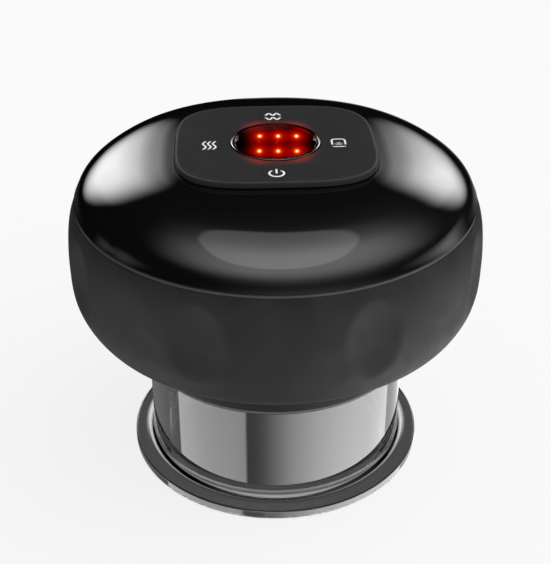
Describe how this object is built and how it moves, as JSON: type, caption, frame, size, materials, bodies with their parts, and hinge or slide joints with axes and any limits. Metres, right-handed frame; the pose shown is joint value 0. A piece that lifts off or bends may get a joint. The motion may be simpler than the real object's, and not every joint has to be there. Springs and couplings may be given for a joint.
{
  "type": "electric cupping massager",
  "caption": "Hand-held suction cupping device with a domed key panel, finger dimples and a clear flanged cup that pulls off.",
  "frame": {"origin": "centre of the cup's mouth, on the plane that meets the skin", "axes": "+Z along the cup towards the key panel, -Y towards the power key, +Y towards the charge port, +X towards the suction key"},
  "size_m": [0.0968, 0.0968, 0.0809],
  "materials": {
    "gloss_black": "piano gloss",
    "soft_grey": "soft touch",
    "pad_grey": "satin",
    "key_grey": "satin",
    "smoked_lens": "polished, smoked",
    "bright_trim": "polished",
    "led_red": "lit",
    "smoke_clear": "clear, smoke tinted",
    "clear": "frosted clear",
    "frame_black": "moulded",
    "board_green": "solder mask",
    "cell_blue": "shrink sleeve",
    "steel": "brushed",
    "brass": "turned",
    "pump_white": "acetal",
    "rubber_black": "moulded",
    "silicone": "translucent",
    "foam_grey": "open foam"
  },
  "bodies": {
    "housing": {"dome_cover": "gloss_black", "grip_shell": "soft_grey", "key_pad": "pad_grey", "window_bezel": "bright_trim", "led_window": "smoked_lens", "display_led_1": "led_red", "display_led_2": "led_red", "display_led_3": "led_red", "display_led_4": "led_red", "display_led_5": "led_red", "display_led_6": "led_red", "light_baffle": "frame_black", "display_board": "board_green", "power_switch": "frame_black", "heat_switch": "frame_black", "mode_switch": "frame_black", "suction_switch": "frame_black", "main_board": "board_green", "inner_frame": "frame_black", "battery_cell": "cell_blue", "charge_port": "steel", "motor_can": "steel", "motor_damper_front": "rubber_black", "motor_damper_rear": "rubber_black", "pump_case": "frame_black", "pump_diaphragm": "rubber_black", "pump_head": "frame_black", "valve_body": "steel", "valve_cap": "brass", "valve_spring": "steel", "pump_hose": "silicone", "valve_hose": "silicone", "suction_head": "frame_black", "seal_ring": "silicone", "cup_collar": "frame_black", "heat_plate": "steel", "light_board": "board_green", "light_cover": "clear", "dust_filter": "foam_grey", "case_screw_1": "steel", "case_screw_2": "steel", "case_screw_3": "steel", "head_screw_1": "steel", "head_screw_2": "steel"},
    "power_button": {"power_key": "key_grey", "power_switch_stem": "brass"},
    "heat_button": {"heat_key": "key_grey", "heat_switch_stem": "brass"},
    "mode_button": {"mode_key": "key_grey", "mode_switch_stem": "brass"},
    "suction_button": {"suction_key": "key_grey", "suction_switch_stem": "brass"},
    "drive": {"motor_shaft": "steel", "eccentric_wheel": "pump_white", "wobble_pin": "steel"},
    "wobble": {"wobble_plate": "pump_white"},
    "plunger": {"valve_plunger": "steel"},
    "cup": {"cup": "smoke_clear"}
  },
  "joints": [
    {"name": "cup_pull", "type": "slide", "parent": "housing", "child": "cup", "axis": [0, 0, -1], "range_m": [0, 0.015]},
    {"name": "power_key_press", "type": "slide", "parent": "housing", "child": "power_button", "axis": [0, 0, -1], "range_m": [0, 0.0005], "stiffness_N_per_m": 3000},
    {"name": "heat_key_press", "type": "slide", "parent": "housing", "child": "heat_button", "axis": [0, 0, -1], "range_m": [0, 0.0005], "stiffness_N_per_m": 3000},
    {"name": "mode_key_press", "type": "slide", "parent": "housing", "child": "mode_button", "axis": [0, 0, -1], "range_m": [0, 0.0005], "stiffness_N_per_m": 3000},
    {"name": "suction_key_press", "type": "slide", "parent": "housing", "child": "suction_button", "axis": [0, 0, -1], "range_m": [0, 0.0005], "stiffness_N_per_m": 3000},
    {"name": "motor_spin", "type": "hinge", "parent": "housing", "child": "drive", "pos_m": [0, 0.0155, 0.0556], "axis": [1, 0, 0], "continuous": true},
    {"name": "wobble_swing", "type": "hinge", "parent": "drive", "child": "wobble", "pos_m": [0.0144, 0.0155, 0.0556], "axis": [0.9945, 0, 0.1045], "continuous": true},
    {"name": "valve_lift", "type": "slide", "parent": "housing", "child": "plunger", "axis": [0, 0, -1], "range_m": [0, 0.001], "stiffness_N_per_m": 300, "springref_m": -0.001, "deforming": ["valve_spring"]}
  ],
  "couplings": [
    {"joint": "wobble_swing", "follows": "motor_spin", "ratio": -1}
  ]
}
